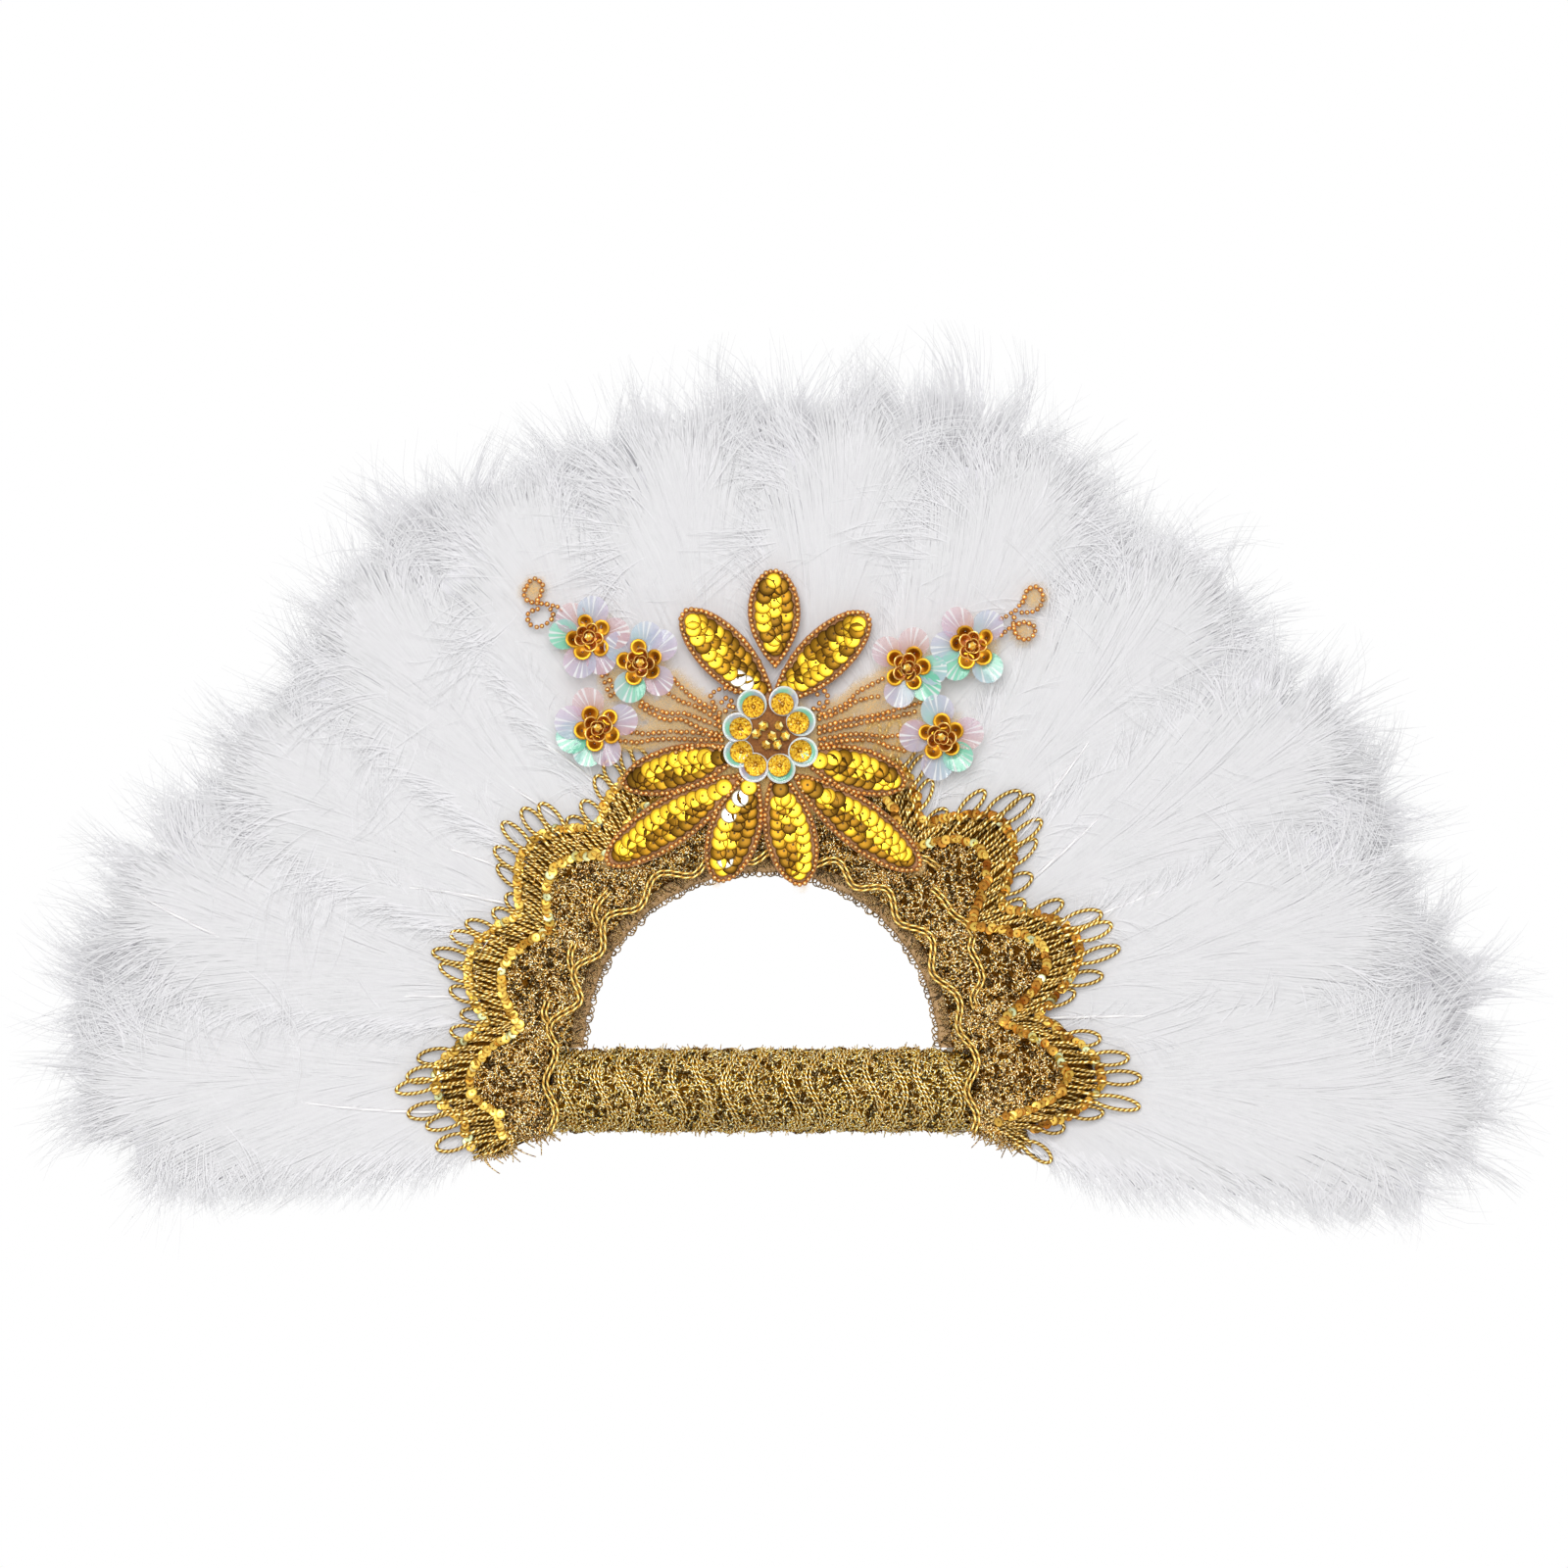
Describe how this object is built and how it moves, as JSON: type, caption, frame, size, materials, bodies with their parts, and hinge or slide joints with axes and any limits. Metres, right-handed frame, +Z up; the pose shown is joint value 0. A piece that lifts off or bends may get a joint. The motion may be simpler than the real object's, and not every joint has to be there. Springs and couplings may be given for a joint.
{
  "type": "feather fan",
  "caption": "Rigid hand fan of white plumes round a D-shaped finger opening with a wrapped grip bar, gold lace trim and a sequin flower ornament.",
  "frame": {"origin": "middle of the grip bar, inside it", "axes": "+Z up from the grip bar towards the plumes' top, +X to the right seen from the decorated front, -Y out of the decorated front"},
  "size_m": [0.477, 0.0354, 0.2845],
  "materials": {
    "plume": "soft white down with fine loose barbs",
    "gold_lace": "metallic gold lace of twisted thread",
    "gold_cord": "shiny gold cord",
    "grip_lace": "pale gold eyelash lace",
    "rim_mesh": "sheer taupe mesh",
    "tulle": "sheer peach tulle",
    "cup_sequin": "mirror gold cup sequins",
    "seed_bead": "metallic copper seed beads",
    "shell_sequin": "clear sequins with a pink and mint iridescence",
    "amber_cup": "amber and gold cups and beads",
    "board": "stiff grey board, hidden"
  },
  "bodies": {
    "root": {"backing_board": "board", "bead_stems_left": "seed_bead", "bead_stems_right": "seed_bead", "braid_back": "gold_cord", "braid_front": "gold_cord", "centre_heart": "amber_cup", "centre_petals": "shell_sequin", "flower_left_1_heart": "amber_cup", "flower_left_1_petals": "shell_sequin", "flower_left_2_heart": "amber_cup", "flower_left_2_petals": "shell_sequin", "flower_left_3_heart": "amber_cup", "flower_left_3_petals": "shell_sequin", "flower_right_1_heart": "amber_cup", "flower_right_1_petals": "shell_sequin", "flower_right_2_heart": "amber_cup", "flower_right_2_petals": "shell_sequin", "flower_right_3_heart": "amber_cup", "flower_right_3_petals": "shell_sequin", "grip_core": "board", "grip_wrap": "grip_lace", "lace_back": "gold_lace", "lace_front": "gold_lace", "leaf_bottom_left": "cup_sequin", "leaf_bottom_right": "cup_sequin", "leaf_left": "cup_sequin", "leaf_lower_left": "cup_sequin", "leaf_lower_right": "cup_sequin", "leaf_right": "cup_sequin", "leaf_top": "cup_sequin", "leaf_upper_left": "cup_sequin", "leaf_upper_right": "cup_sequin", "opening_binding": "rim_mesh", "ornament_net": "tulle", "plume_back_1": "plume", "plume_back_10": "plume", "plume_back_11": "plume", "plume_back_2": "plume", "plume_back_3": "plume", "plume_back_4": "plume", "plume_back_5": "plume", "plume_back_6": "plume", "plume_back_7": "plume", "plume_back_8": "plume", "plume_back_9": "plume", "plume_front_1": "plume", "plume_front_10": "plume", "plume_front_11": "plume", "plume_front_12": "plume", "plume_front_2": "plume", "plume_front_3": "plume", "plume_front_4": "plume", "plume_front_5": "plume", "plume_front_6": "plume", "plume_front_7": "plume", "plume_front_8": "plume", "plume_front_9": "plume", "sequin_row_inner": "cup_sequin", "sequin_row_outer": "cup_sequin"}
  },
  "joints": []
}
